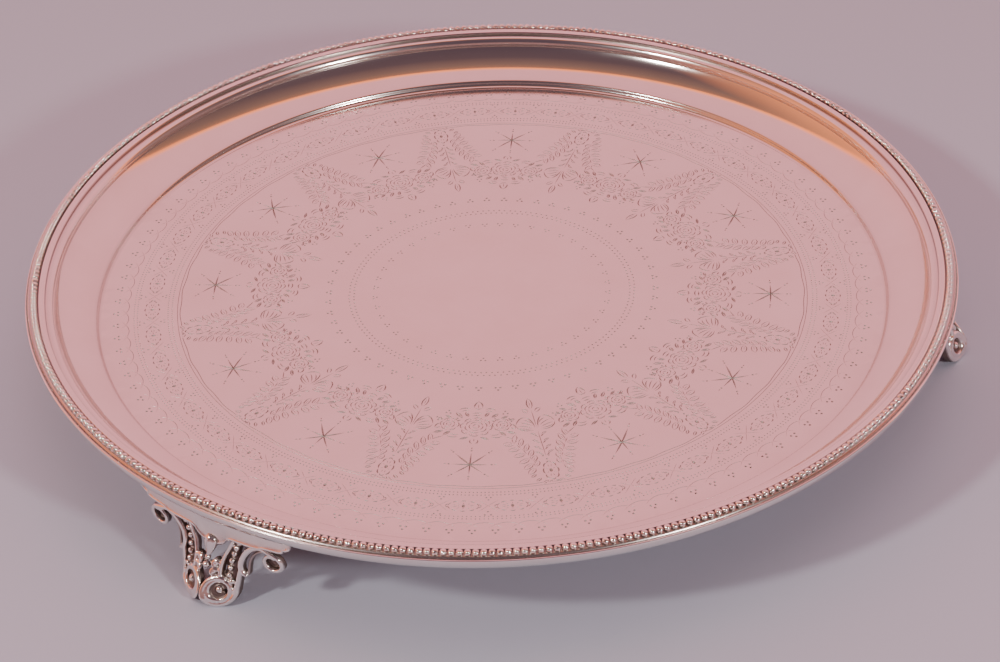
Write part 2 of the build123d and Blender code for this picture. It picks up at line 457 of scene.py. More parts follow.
def bouquet(lay):
    """The main bunch: pointed leaf on top, rose in the middle, a flower and leaves to each side."""
    stroke(lay, (-1.2, 10.0), (-1.6, 12.0), (0.3, 13.7), 0.52)
    stroke(lay, (1.9, 10.2), (2.1, 12.2), (0.3, 13.7), 0.52)
    stroke(lay, (-1.2, 10.0), (0.3, 9.0), (1.9, 10.2), 0.36)
    straight(lay, (0.3, 9.8), (0.3, 12.4), 0.26)
    for x, y in ((-1.15, 10.6), (1.75, 10.8), (0.3, 13.5)):
        dot(lay, x, y, 0.4)
    stroke(lay, (-6.6, 8.9), (-4.6, 10.6), (-2.4, 9.6), 0.46, steps=4)
    stroke(lay, (-5.6, 8.0), (-4.2, 9.2), (-2.6, 8.6), 0.36)
    stroke(lay, (6.9, 8.6), (4.9, 10.6), (2.8, 9.4), 0.46, steps=4)
    stroke(lay, (5.9, 7.8), (4.4, 9.1), (2.9, 8.4), 0.36)
    stroke(lay, (-1.7, 7.2), (0.2, 8.2), (2.0, 7.2), 0.42)
    straight(lay, (-1.5, 6.3), (1.4, 6.4), 0.5)
    leaf(lay, (-4.6, 5.2), (-7.4, 7.6), 1.0, 0.4)
    leaf(lay, (-2.6, 5.6), (-4.0, 8.0), 0.9, 0.4)
    leaf(lay, (2.8, 5.6), (4.3, 8.0), 0.9, 0.4)
    leaf(lay, (4.8, 5.0), (7.6, 7.2), 0.9, 0.4)
    rose(lay, 0.2, 0.6, 4.4, 4.1)
    for side in (-1, 1):
        side_flower(lay, side * 8.3, 1.5, 1.0, side)
        three_dots(lay, side * 9.9, 7.4, 1.2, 0.36)
        stroke(lay, (side * 4.9, 3.9), (side * 6.2, 3.6), (side * 6.2, 2.2), 0.5)
        leaf(lay, (side * 8.2, 4.6), (side * 10.8, 5.7), 0.6 * side, 0.38)
        leaf(lay, (side * 10.6, 3.4), (side * 13.0, 4.0), 0.6 * side, 0.38)
        stroke(lay, (side * 11.2, 1.6), (side * 12.9, 0.8), (side * 12.6, -1.0), 0.5)
        stroke(lay, (side * 12.6, -1.0), (side * 11.4, -0.9), (side * 11.0, -0.2), 0.4)
        leaf(lay, (side * 9.6, -2.0), (side * 12.5, -3.6), 0.8 * side, 0.42)
        leaf(lay, (side * 7.4, -1.8), (side * 9.4, -4.4), 0.8 * side, 0.42)
        stroke(lay, (side * 8.4, -4.2), (side * 6.6, -5.6), (side * 4.8, -4.4), 0.46)
        stroke(lay, (side * 7.6, -2.9), (side * 6.2, -4.2), (side * 4.6, -3.4), 0.36)
        stroke(lay, (side * 9.0, -4.6), (side * 10.9, -5.6), (side * 12.9, -7.8), 0.34, steps=4)
        leaf(lay, (side * 1.6, -4.5), (side * 4.4, -5.9), 0.6 * side, 0.4)
        dot(lay, side * 5.0, 5.1, 0.34)
        dot(lay, side * 6.3, 4.6, 0.34)
        stroke(lay, (side * 0.3, -7.9), (side * 1.6, -7.2), (side * 1.0, -5.7), 0.44)
    straight(lay, (0, -5.2), (0, -6.8), 0.32)


print("rose and bouquet drawn")

# %% Spray, laurel and tip flower
def spray(lay):
    """Upright spray between the bouquets: top leaf, small pair, two broad ribbed leaves and a leafy stem."""
    stroke(lay, (-0.2, 26.2), (-2.4, 28.6), (0.1, 31.8), 0.46, steps=4)
    stroke(lay, (0.2, 26.2), (2.4, 28.9), (0.1, 31.8), 0.38, steps=4)
    straight(lay, (0, 27.2), (0.1, 30.2), 0.22)
    straight(lay, (0, 16.4), (0, 25.8), 0.26, steps=3)
    for side in (-1, 1):
        stroke(lay, (side * 1.2, 24.7), (side * 2.2, 26.8), (side * 4.4, 26.2), 0.42)
        stroke(lay, (side * 1.4, 24.2), (side * 3.2, 24.4), (side * 4.4, 26.2), 0.32)
        # broad leaf: rounded outline, drawn in four cuts, with ribs that fan from its base
        stroke(lay, (side * 0.6, 16.4), (side * 0.8, 20.9), (side * 3.4, 22.2), 0.44, steps=4)
        stroke(lay, (side * 3.2, 22.2), (side * 6.4, 22.6), (side * 7.8, 18.5), 0.44, steps=4)
        stroke(lay, (side * 1.2, 15.3), (side * 6.8, 14.8), (side * 7.8, 18.5), 0.44, steps=4)
        stroke(lay, (side * 1.2, 18.6), (side * 2.4, 20.6), (side * 4.4, 20.8), 0.38)
        stroke(lay, (side * 1.3, 17.4), (side * 3.2, 19.2), (side * 6.2, 19.9), 0.34)
        stroke(lay, (side * 1.5, 16.6), (side * 4.2, 17.8), (side * 7.0, 18.2), 0.34)
        stroke(lay, (side * 1.6, 16.0), (side * 4.6, 16.1), (side * 6.8, 17.0), 0.34)
        three_dots(lay, side * 9.1, 21.8, 1.25, 0.4, point_in=False)
        for rise in (13.6, 10.2, 7.0, 4.2):
            stroke(lay, (side * 0.25, rise - 1.8), (side * 1.4, rise - 1.2), (side * 1.7, rise), 0.44)
            leaf(lay, (side * 0.9, rise - 0.6), (side * 3.1, rise + 0.4), 0.55 * side, 0.3, rib=False)
        dot(lay, side * 0.9, 2.3, 0.34)
    straight(lay, (0, 1.5), (0, 15.2), 0.28, steps=4)
    dot(lay, 0, 0.6, 0.36)


def laurel(lay):
    """A laurel branch from the bouquet down to the tip flower, with leaves to both sides."""
    bends = ((11.8, 10.4), (8.9, 9.1), (7.2, 6.6), (5.6, 3.6), (4.4, 0.2), (3.7, -2.8))
    for start, end in zip(bends, bends[1:]):
        straight(lay, start, end, 0.3)
    # outer leaves point at the star and inner leaves at the spray, and all grow up towards the bouquet
    outer = ((9.2, 9.0, 13.4, 9.6), (7.6, 6.7, 12.0, 6.2), (6.1, 4.1, 10.3, 2.9), (5.1, 1.5, 8.9, -0.6),
             (4.4, -1.0, 7.7, -3.7), (4.0, -3.2, 6.6, -6.3))
    inner = ((9.6, 9.4, 8.4, 14.0), (7.7, 7.6, 6.3, 12.0), (6.3, 5.0, 4.7, 9.0), (5.2, 2.2, 3.6, 5.9),
             (4.5, -0.4, 3.0, 2.9), (4.0, -2.8, 2.7, 0.2))
    for base_x, base_y, tip_x, tip_y in outer:
        leaf(lay, (base_x, base_y), (tip_x, tip_y), -1.9, 0.32)
    for base_x, base_y, tip_x, tip_y in inner:
        leaf(lay, (base_x, base_y), (tip_x, tip_y), 1.7, 0.32)
    for x, y in ((5.4, -7.2), (4.2, -9.2), (2.5, -10.6)):
        leaf(lay, (x - 1.1, y + 0.9), (x + 0.6, y - 0.6), -0.8, 0.36, rib=False)


def tip_flower(lay):
    """Oval flower under the meeting branches: eight petals round an upright centre."""
    ring_of_petals(lay, 0, -5.3, 1.95, 3.9, 8, 0.5, math.pi / 8, lift=0.36)
    dot(lay, 0, -5.3, 0.55, tall=1.6)
    for i in range(8):
        a = math.pi / 8 + TAU * i / 8
        c, s = math.cos(a), math.sin(a)
        straight(lay, (0.75 * c, -5.3 + 1.7 * s), (1.5 * c, -5.3 + 3.2 * s), 0.22)
    for side in (-1, 1):
        leaf(lay, (side * 0.4, -10.2), (side * 1.8, -10.9), 0.35, 0.3, rib=False)


print("spray, laurel and tip flower drawn")


# %% Floret
def floret(lay):
    """Oval floret of the outer band: ten short petals, pointed at both ends, and a dark centre."""
    for i in range(10):
        a = TAU * (i + 0.5) / 10
        c, s = math.cos(a), math.sin(a)
        middle = (4.4 * c, 2.2 * s)
        along = Vector((-4.4 * s, 2.2 * c)).normalized() * 0.85
        stroke(lay, (middle[0] - along.x, middle[1] - along.y), (middle[0] * 1.16, middle[1] * 1.2),
               (middle[0] + along.x, middle[1] + along.y), 0.44)
        straight(lay, (2.0 * c, 0.9 * s), (3.4 * c, 1.6 * s), 0.24)
    dot(lay, 0, 0, 0.52, tall=1.5)
    straight(lay, (-1.8, 0), (-0.9, 0), 0.34)
    for side in (-1, 1):
        stroke(lay, (side * 4.4, 0.9), (side * 5.1, 0.6), (side * 5.5, 0), 0.4)
        stroke(lay, (side * 4.4, -0.9), (side * 5.1, -0.6), (side * 5.5, 0), 0.4)


print("floret drawn")

# %% [markdown]
# ## Engraving: laying the pattern out
# Every motif is placed with a small random shift, seeded so that it never changes, because hand
# engraving is never perfectly even. The fine double lines are rows of short ticks, as a roulette
# wheel rolls them.

# %% Fill the drawing board
STAR_R = 92.25
REPEATS = 12
FLORETS = 48
TICKS = 560
SCALLOPS = 112


def around(count, radius, motif, phase=0.0, shake=0.25):
    """Repeats a motif round the well, each copy a little out of place."""
    for i in range(count):
        angle = TAU * (i + phase) / count + hand.uniform(-shake, shake) / radius
        motif(pen(angle, radius + hand.uniform(-shake, shake) * 0.6))


def rolled_line(radius, count, tick):
    """A fine line made of short radial ticks."""
    for i in range(count):
        lay = pen(TAU * i / count, radius)
        straight(lay, (0, -tick / 2), (0, tick / 2), 0.5)


around(44, 38.7, lambda lay: three_dots(lay, 0, 0, 1.15, 0.34))
around(160, 45.7, lambda lay: dot(lay, 0, 0, 0.32), shake=0.1)
around(160, 47.2, lambda lay: dot(lay, 0, 0, 0.32), phase=0.5, shake=0.1)
around(58, 54.1, lambda lay: three_dots(lay, 0, 0, 1.25, 0.42, point_in=False), phase=0.5)
around(REPEATS, 74.45, bouquet, shake=0.5)
around(REPEATS, STAR_R, star, shake=0.5)
around(REPEATS, STAR_R, spray, phase=0.5, shake=0.3)
for mirror in (-1, 1):
    for i in range(REPEATS):
        laurel(pen(TAU * (i + 0.5) / REPEATS + hand.uniform(-0.2, 0.2) / STAR_R, STAR_R, mirror))
around(REPEATS, STAR_R, tip_flower, phase=0.5, shake=0.2)
rolled_line(105.8, TICKS, 0.66)
rolled_line(107.1, TICKS, 0.66)
ring_cut(103.0, 0.24, wave=0.18, waves=48)
ring_cut(104.0, 0.2)
around(FLORETS, 108.7, lambda lay: three_dots(lay, 0, 0, 1.1, 0.32, point_in=False), phase=0.5, shake=0.15)
around(FLORETS, 112.3, floret, shake=0.15)
for mirror in (-1, 1):
    for i in range(FLORETS):
        lay = pen(TAU * (i + 0.5) / FLORETS, 112.3, mirror)
        stroke(lay, (-3.2, 2.9), (0, 0.4), (3.2, -2.9), 0.2, steps=4)
around(FLORETS, 115.9, lambda lay: three_dots(lay, 0, 0, 1.5, 0.34), phase=0.5, shake=0.15)
rolled_line(117.15, TICKS, 0.6)
rolled_line(118.25, TICKS, 0.6)
for i in range(SCALLOPS):
    lay = pen(TAU * i / SCALLOPS, 121.6)
    stroke(lay, (-5.6, -1.0), (0, 4.2), (5.6, -1.0), 0.2, steps=8)
around(SCALLOPS, 124.0, lambda lay: three_dots(lay, 0, 0, 1.35, 0.42, point_in=False), phase=0.5, shake=0.12)
print("cuts use", len(cut_points), "points and", len(cut_edges), "edges")

# %% [markdown]
# ## Tray
# The engraved floor, the little step round it, the curved wall and the flange are one sheet of silver.
# A bump texture could show the cuts, but only real grooves keep their shape in the finished mesh, so the
# floor is triangulated round them and its faces stay flat, which keeps the cuts crisp. The wall is spun
# and shaded smooth.

# %% Cut the floor
WELL_R = 128.9


def engraved_floor(mesh):
    """Triangulates the well floor round every cut and pushes the keels down."""
    rim = [Vector((WELL_R * math.cos(TAU * i / TURN_STEPS), WELL_R * math.sin(TAU * i / TURN_STEPS)))
           for i in range(TURN_STEPS)]
    first = len(cut_points)
    edges = cut_edges + [(first + i, first + (i + 1) % TURN_STEPS) for i in range(TURN_STEPS)]
    flat, _, faces, origins, _, _ = delaunay_2d_cdt(cut_points + rim, edges, [], 0, 0.004)
    depths = cut_depths + [0.0] * TURN_STEPS
    cut = mesh.faces.layers.float.new("cut")
    points = []
    sunk = []
    for place, origin in zip(flat, origins):
        # points born where two cuts cross have no origin and stay at the surface
        depth = max((depths[i] for i in origin), default=0)
        points.append(mesh.verts.new((place.x * MM, place.y * MM, FLOOR_Z - depth * MM)))
        sunk.append(depth)
    for corners in faces:
        face = mesh.faces.new([points[i] for i in corners])
        deepest = max(sunk[i] for i in corners)
        if deepest > 0:
            face[cut] = min(CUT_DARK, 0.3 + deepest * 3)


print("well radius", WELL_R, "mm")

# %% Build the tray
def make_tray():
    """Engraved floor joined to the turned wall, flange and underside."""
    tray = bmesh.new()
    wall = [(WELL_R, 0, 0.1)]
    wall += bend((WELL_R, 0, 0.1), (129.7, 0.35, 0.3), (130.1, 1.1, 0.5), 4)
    wall += bend((130.1, 1.1, 0.5), (130.5, 1.75, 0.3), (131.3, 2.0, 0.1), 4)
    wall += [(133.6, 2.3, 0.05)]
    wall += bend((133.6, 2.3, 0.05), (140.6, 5.9, 0.05), (144.7, 11.4, 0.3), 12)
    wall += [(145.3, 11.9, 0.5), (151.0, 11.9, 0.8), (151.0, 10.7, 0.8), (145.9, 10.7, 0.6)]
    wall += bend((145.9, 10.7, 0.6), (141.4, 5.0, 0.3), (134.2, 1.15, 0.2), 12)
    wall += [(132.0, 0.85, 0.2)]
    wall += bend((132.0, 0.85, 0.2), (131.2, 0.45, 0.3), (130.9, -0.2, 0.4), 3)
    wall += bend((130.9, -0.2, 0.4), (130.2, -0.95, 0.2), (129.2, -1.2, 0.1), 3)
    wall += [(90, -1.2, 0.1), (45, -1.2, 0.1), (0, -1.2, 0.1)]
    spin_profile(tray, wall)
    engraved_floor(tray)
    piece = finish_piece("tray", tray, sheet_silver, ["tray_sheet"])
    vertices = piece.data.vertices
    for polygon in piece.data.polygons:
        if all(vertices[i].co.xy.length < (WELL_R + 0.1) * MM and vertices[i].co.z > FLOOR_Z - MM
               for i in polygon.vertices):
            polygon.use_smooth = False


make_tray()

# %% [markdown]
# ## Border
# Two mouldings frame the beads: on the inner side a roll with a narrow ledge, an upright step and a flat
# band, and round the very edge a plain rounded wire. The dark lines where they meet are where polish
# never reaches.

# %% Turn the mouldings
def make_moulding():
    """Roll, ledge, step and flat band that sit on the top of the wall."""
    moulding = bmesh.new()
    profile = [(143.6, 8.6, 0.7), (142.9, 9.0, 0.6)]
    profile += bend((142.9, 9.0, 0.5), (142.9, 10.3, 0.1), (143.4, 11.3, 0.1), 5)
    profile += bend((143.4, 11.3, 0.1), (144.1, 11.92, 0.0), (145.6, 12.15, 0.2), 6)
    profile += [(145.9, 12.2, 0.9), (145.9, 13.15, 0.3), (146.1, 13.35, 0.0), (147.8, 13.55, 0.0),
                (147.98, 13.4, 0.3), (148.0, 11.9, 1.0), (145.7, 11.3, 1.0), (144.6, 10.2, 1.0)]
    spin_profile(moulding, profile, closed=True)
    finish_piece("border_roll", moulding, border_silver, ["border_moulding"])


def make_rim():
    """Rounded wire round the outside edge."""
    rim = bmesh.new()
    profile = [(149.9, 10.7, 0.9), (150.2, 9.9, 0.6)]
    profile += bend((150.2, 9.9, 0.6), (150.6, 9.35, 0.3), (151.2, 9.2, 0.1), 3)
    profile += bend((151.2, 9.2, 0.1), (151.85, 10.4, 0.0), (152.3, 11.9, 0.0), 6)
    profile += bend((152.3, 11.9, 0.0), (152.28, 12.5, 0.0), (151.9, 12.65, 0.0), 4)
    profile += bend((151.9, 12.65, 0.0), (151.5, 12.35, 0.2), (151.0, 12.25, 0.45), 4)
    profile += [(151.0, 10.7, 1.0)]
    spin_profile(rim, profile, closed=True)
    finish_piece("rim_wire_round", rim, border_silver, ["rim_wire"])


make_moulding()
make_rim()

# %% [markdown]
# ## Beads
# Four hundred small beads stand shoulder to shoulder on a narrow seat. An array of whole balls would be
# heavy, so one bead of eighty faces is made and spun round as duplicates. Its lower half is painted
# darker as shade, fully dark at its foot where tarnish also gathers, which draws the dark gaps between
# the beads.

# %% Set the beads
BEAD_COUNT = 400
BEAD_R = 1.12
BEAD_STRETCH = 1.12           # a bead is a little longer across the seat than along it
BEAD_RING = 149.45
BEAD_RISE = 13.55


def make_beads():
    """A ring of beads on a turned seat."""
    border = bmesh.new()
    seat = [(148.0, 11.9, 1), (148.0, 12.75, 0.9), (150.4, 12.85, 0.6), (150.75, 12.55, 0.3),
            (151.0, 12.25, 0.45), (151.0, 11.9, 1)]
    spin_profile(border, seat, closed=True)
    layer = border.verts.layers.float["tarnish_and_shade"]
    place = Matrix.Translation(at_place(BEAD_RING, BEAD_RISE)) @ Matrix.Diagonal((BEAD_STRETCH, 1, 1, 1))
    bead = bmesh.ops.create_icosphere(border, subdivisions=2, radius=BEAD_R * MM, matrix=place)["verts"]
    # painted shade: each bead darkens below its middle, down to full dark at its foot, where tarnish also
    # gathers against the seat
    for vertex in bead:
        rise = (vertex.co.z - FLOOR_Z) / MM - BEAD_RISE
        vertex[layer] = min(1.0, max(0.0, 0.15 - rise / BEAD_R))
    faces = list({face for vertex in bead for face in vertex.link_faces})
    bmesh.ops.spin(border, geom=bead + faces, cent=(0, 0, 0), axis=(0, 0, 1), use_duplicate=True,
                   angle=TAU * (BEAD_COUNT - 1) / BEAD_COUNT, steps=BEAD_COUNT - 1)
    finish_piece("bead_border_round", border, bead_silver, ["bead_border"], 60)


make_beads()

# %% [markdown]
# ## Feet: where a point of a foot lies
# Each foot is two mirrored halves that are swept back from a ridge in the middle and lean out towards
# the table. Everything on a half is drawn flat, as a distance from the ridge and a height above the
# table, and foot_place bends that drawing onto the leaning, swept surface. A bevelled curve would tilt
# its section on such a bent line, so a bar is a row of rings that bridge_loops joins.

# %% Foot surface
# each row: height above the table, radius of the ridge there, and how far a half turns back from it
LEAN = ((-1, 158.4, 0.58), (3, 158.1, 0.58), (7, 155.9, 0.50), (12, 152.8, 0.30), (17, 150.0, 0.15),
        (22, 148.7, 0.07), (25, 148.1, 0.07), (31, 147.5, 0.07))
SPAN_STEPS = 8


def foot_place(across, height, out):
    """A point of the left half of the first foot: across from the ridge, above the table, and out."""
    height = min(max(height, LEAN[0][0]), LEAN[-1][0])
    for (z1, r1, k1), (z2, r2, k2) in zip(LEAN, LEAN[1:]):
        if height <= z2:
            t = (height - z1) / (z2 - z1)
            reach = r1 + (r2 - r1) * t - (k1 + (k2 - k1) * t) * abs(across)
            return Vector(((reach + out) * MM, across * MM, height * MM))


def smooth_path(points):
    """Runs a smooth line through points given as across, height and half width."""
    padded = [points[0], *points, points[-1]]
    path = []
    for a, b, c, d in zip(padded, padded[1:], padded[2:], padded[3:]):
        for i in range(SPAN_STEPS):
            t = i / SPAN_STEPS
            path.append(tuple(0.5 * (2 * q + (r - p) * t + (2 * p - 5 * q + 4 * r - s) * t * t
                                     + (3 * q - p - 3 * r + s) * t ** 3) for p, q, r, s in zip(a, b, c, d)))
    path.append(points[-1])
    return path


def skin_over(mesh, rings):
    """Bridges a row of rings of vertices into one skin and closes both ends."""
    loops = [[mesh.edges.new(pair) for pair in zip(ring, ring[1:] + ring[:1])] for ring in rings]
    for first, second in zip(loops, loops[1:]):
        bmesh.ops.bridge_loops(mesh, edges=first + second)
    bmesh.ops.edgeloop_fill(mesh, edges=loops[0] + loops[-1])


def bar(mesh, points, back=2.4, crest=0.0):
    """A cast bar along a line: straight sides, rounded crest. back and crest are depths in mm."""
    path = smooth_path(points)
    rings = []
    for i, (across, height, half) in enumerate(path):
        before, after = path[max(i - 1, 0)], path[min(i + 1, len(path) - 1)]
        along = Vector((after[0] - before[0], after[1] - before[1])).normalized()
        side = Vector((-along.y, along.x))
        ring = []
        for u, v in ((-1, None), (-1, 0.75), (-0.8, 0.36), (-0.42, 0.1), (0, 0), (0.42, 0.1), (0.8, 0.36),
                     (1, 0.75), (1, None)):
            out = -back if v is None else crest - v * half
            place = foot_place(across + side.x * u * half, height + side.y * u * half, out)
            ring.append(mesh.verts.new(place))
        rings.append(ring)
    skin_over(mesh, rings)


def pearl(mesh, across, height, radius, out=0.0):
    """A round pearl whose crown stands out by the given distance."""
    place = Matrix.Translation(foot_place(across, height, out - radius))
    bmesh.ops.create_uvsphere(mesh, u_segments=16, v_segments=10, radius=radius * MM, matrix=place)


def tarnish_by_depth(mesh, start, reach):
    """Marks as tarnished what lies behind the foot's surface, from start to start plus reach in mm."""
    layer = mesh.verts.layers.float.new("tarnish_and_shade")
    for vertex in mesh.verts:
        sunk = (foot_place(vertex.co.y / MM, vertex.co.z / MM, 0).x - vertex.co.x) / MM
        vertex[layer] = min(1.0, max(0.0, (sunk - start) / reach))


print("ridge at the toe:", [round(v / MM, 1) for v in foot_place(0, 3, 0)])

# %% [markdown]
# ## Feet: one half
# From outside in: a scroll that starts in a small volute under the end of the pad, runs over a peak and
# down to a pointed spur; a channel with a string of pearls; an inner strap; and the toe, which curls
# into a ring round one larger pearl. The parts are cast as one. Joining them with booleans would leave
# sharp seams, so a voxel remesh fuses them into a single skin, and a little smoothing rounds it off.

# %% Draw the half
VOLUTE = (21.4, 18.1)
TOE_RING = (5.2, 5.3)


def circle_points(centre, radius, start, end, half, count):
    """Points round a centre between two angles in degrees; radius and half width can be ranges."""
    points = []
    for i in range(count + 1):
        t = i / count
        a = math.radians(start + (end - start) * t)
        r = radius[0] + (radius[1] - radius[0]) * t
        points.append((centre[0] + r * math.cos(a), centre[1] + r * math.sin(a),
                       half[0] + (half[1] - half[0]) * t))
    return points


def draw_half(mesh):
    """All the bars and pearls of one half, overlapping."""
    scroll = circle_points(VOLUTE, (2.5, 3.2), -300, 75, (0.55, 0.74), 14)
    scroll += [(19.8, 22.0, 0.8), (17.6, 22.5, 0.9), (15.1, 21.5, 0.95), (12.9, 19.6, 1.0), (11.3, 17.1, 1.0),
               (10.6, 14.6, 0.95), (10.9, 12.6, 0.8), (12.0, 11.4, 0.6), (13.0, 11.0, 0.35)]
    bar(mesh, scroll)
    bar(mesh, [(12.9, 11.0, 0.4), (13.1, 13.0, 0.42), (13.3, 15.4, 0.42), (14.2, 17.8, 0.42),
               (15.9, 19.8, 0.42), (17.8, 20.9, 0.42)], back=2.6, crest=-0.9)
    bar(mesh, circle_points(VOLUTE, (1.0, 1.0), 0, 330, (1.0, 1.0), 8), back=2.3, crest=-1.5)

    toe = [(10.8, 13.4, 0.5), (10.5, 11.2, 0.66), (10.2, 8.6, 0.7)]
    toe += circle_points(TOE_RING, (4.75, 4.3), 10, -215, (0.72, 0.78), 12)
    toe += circle_points(TOE_RING, (4.1, 3.6), -235, -290, (0.78, 0.6), 4)
    bar(mesh, toe, back=3.0)
    bar(mesh, circle_points(TOE_RING, (3.1, 3.1), 0, 366, (0.62, 0.62), 18), back=3.0, crest=-0.1)
    bar(mesh, circle_points(TOE_RING, (1.5, 1.5), 0, 330, (1.6, 1.6), 8), back=3.0, crest=-1.3)
    pearl(mesh, TOE_RING[0] - 0.1, TOE_RING[1] + 0.1, 1.25, out=-0.1)
    pearl(mesh, 8.3, 8.3, 0.9, out=0.0)

    strap = [(8.8, 23.6, 0.55), (7.8, 21.0, 0.6), (6.6, 18.4, 0.6), (5.5, 16.0, 0.6), (4.9, 13.8, 0.62),
             (4.7, 11.6, 0.6), (4.9, 9.8, 0.5)]
    bar(mesh, strap, back=2.6)
    bar(mesh, [(9.9, 23.0, 1.3), (9.0, 20.2, 1.5), (8.2, 17.4, 1.6), (7.7, 14.2, 1.9), (7.6, 11.0, 2.1),
               (7.6, 8.4, 2.1), (8.4, 6.6, 1.3)], back=2.7, crest=-1.15)
    for across, height, radius in ((10.2, 21.8, 1.0), (9.1, 19.5, 0.95), (8.3, 17.2, 0.95), (7.8, 14.9, 0.95),
                                   (7.6, 12.6, 0.95), (7.6, 10.4, 0.9)):
        pearl(mesh, across, height, radius, out=0.1)

    # small curls on the inner side of the strap, one above the other
    bar(mesh, circle_points((3.0, 13.0), (1.1, 0.75), 20, 250, (0.62, 0.5), 8), back=2.2, crest=0.0)
    bar(mesh, circle_points((2.9, 10.7), (1.0, 0.7), 20, 250, (0.6, 0.5), 8), back=2.4, crest=0.0)
    pearl(mesh, 3.0, 12.9, 0.7, out=-0.1)
    pearl(mesh, 2.9, 10.6, 0.65, out=-0.1)
    bar(mesh, [(4.8, 13.2, 0.8), (3.0, 12.6, 1.2), (2.8, 10.8, 1.2), (4.8, 10.2, 0.8)], back=2.4, crest=-1.2)
    bar(mesh, [(4.7, 12.2, 0.8), (2.6, 12.2, 0.9), (0.3, 12.2, 0.8)], back=2.4, crest=-1.4)


print("volute centred at", VOLUTE, "and toe ring at", TOE_RING)

# %% Fuse the half
VOXEL = 0.23
SOFTENING_PASSES = 2


def fused_half():
    """Fuses the drawn bars into one skin and softens it a little, as a casting is."""
    drawing = bmesh.new()
    draw_half(drawing)
    data = bpy.data.meshes.new("foot_drawing")
    drawing.to_mesh(data)
    drawing.free()
    rough = bpy.data.objects.new("foot_drawing", data)
    bpy.context.scene.collection.objects.link(rough)
    remesh = rough.modifiers.new("fuse", "REMESH")
    remesh.mode = "VOXEL"
    remesh.voxel_size = VOXEL * MM
    skin = bpy.data.meshes.new_from_object(rough.evaluated_get(bpy.context.evaluated_depsgraph_get()))
    bpy.data.objects.remove(rough)
    half = bmesh.new()
    half.from_mesh(skin)
    for _ in range(SOFTENING_PASSES):
        bmesh.ops.smooth_vert(half, verts=half.verts, factor=0.5,
                              use_axis_x=True, use_axis_y=True, use_axis_z=True)
    for vertex in half.verts:
        vertex.co.z = max(vertex.co.z, 0)
    tarnish_by_depth(half, 0.35, 0.9)
    print("one half has", len(half.faces), "faces")
    return half


print("voxels of", VOXEL, "mm")


# %% Place the six halves
def place_halves():
    """Copies of the half, one per side of each foot."""
    half = fused_half()
    for foot in (1, 2, 3):
        turn = Matrix.Rotation(TAU * (foot - 1) / 3, 4, "Z")
        for side, mirror in (("left", 1), ("right", -1)):
            copy = half.copy()
            copy.transform(turn @ Matrix.Diagonal((1, mirror, 1, 1)))
            finish_piece(f"foot_{foot}_{side}_casting", copy, cast_silver,
                         [f"foot_{foot}_{side}_scroll"], 180)
    half.free()


place_halves()

# %% [markdown]
# ## Feet: pad and bud
# The pad is the curved plate that joins a foot to the wall. Its lower edge steps in towards the middle
# and has a thin raised line, and a tongue hangs from it behind a small leaf-shaped bud.

# %% Pad
PAD_TOP = 31.6
# half of the lower edge, from its end to the tip of the tongue: degrees round the tray, and height
PAD_EDGE = ((11.0, 27.2), (10.95, 26.2), (10.75, 25.2), (10.35, 24.6), (9.95, 24.4), (9.9, 23.7),
            (9.6, 23.3), (9.0, 23.1), (8.0, 23.0), (7.1, 22.9), (6.9, 22.4), (6.5, 22.1), (5.6, 22.0),
            (2.9, 22.0), (2.35, 21.5), (2.05, 20.4), (1.75, 19.5), (1.35, 18.8), (0.8, 18.3), (0.0, 18.1))


def make_pad(foot):
    """Curved plate under the rim with a stepped lower edge."""
    mesh = bmesh.new()
    layer = mesh.verts.layers.float.new("tarnish_and_shade")
    edge = [(-a, z) for a, z in PAD_EDGE] + [(a, z) for a, z in reversed(PAD_EDGE[:-1])]
    columns = []
    for angle, low in edge:
        a = math.radians(angle) + TAU * (foot - 1) / 3
        room = PAD_TOP - low
        rows = ((147.9, PAD_TOP, 0.6), (148.0, low + room * 0.5, 0.1), (148.15, low + 1.1, 0.3),
                (148.45, low + 0.8, 0.0), (148.55, low + 0.4, 0.0), (148.35, low, 0.3), (147.2, low, 0.6),
                (146.4, low + 0.5, 0.7), (146.3, PAD_TOP, 0.7))
        column = []
        for radius, z, tarnish_and_shade in rows:
            vertex = mesh.verts.new((radius * MM * math.cos(a), radius * MM * math.sin(a), z * MM))
            vertex[layer] = tarnish_and_shade
            column.append(vertex)
        columns.append(column)
    skin_over(mesh, columns)
    finish_piece(f"foot_{foot}_plate", mesh, cast_silver, [f"foot_{foot}_pad"], 50)


print("pad edge has", len(PAD_EDGE), "points on each side")

# %% Bud
# each row of the bud: height above the table and half its width
BUD_ROWS = ((21.35, 0.3), (21.15, 1.0), (20.7, 1.6), (20.0, 2.05), (19.1, 2.25), (18.2, 2.15), (17.3, 1.85),
            (16.4, 1.45), (15.6, 1.0), (15.1, 0.6))
BUD_SIDES = 20


def make_bud(foot):
    """Leaf-shaped bud with a midrib, and two pearls under it."""
    mesh = bmesh.new()
    rings = []
    for height, half in BUD_ROWS:
        ring = []
        for i in range(BUD_SIDES):
            a = TAU * i / BUD_SIDES
            across = half * math.sin(a)
            swell = math.cos(a)
            rib = 0.35 * math.exp(-(across / 0.28) ** 2) - 0.22 * math.exp(-((abs(across) - 0.62) / 0.3) ** 2)
            out = -0.5 + 1.2 * half / 2.25 * swell + (rib * half / 2.25 if swell > 0 else -0.8)
            ring.append(mesh.verts.new(foot_place(across, height, out)))
        rings.append(ring)
    skin_over(mesh, rings)
    pearl(mesh, 0, 14.3, 0.95, out=0.0)
    pearl(mesh, 0, 12.2, 1.15, out=0.1)
    tarnish_by_depth(mesh, 0.2, 1.2)
    mesh.transform(Matrix.Rotation(TAU * (foot - 1) / 3, 4, "Z"))
    finish_piece(f"foot_{foot}_leaf", mesh, cast_silver, [f"foot_{foot}_bud"], 60)


for foot in (1, 2, 3):
    make_pad(foot)
    make_bud(foot)

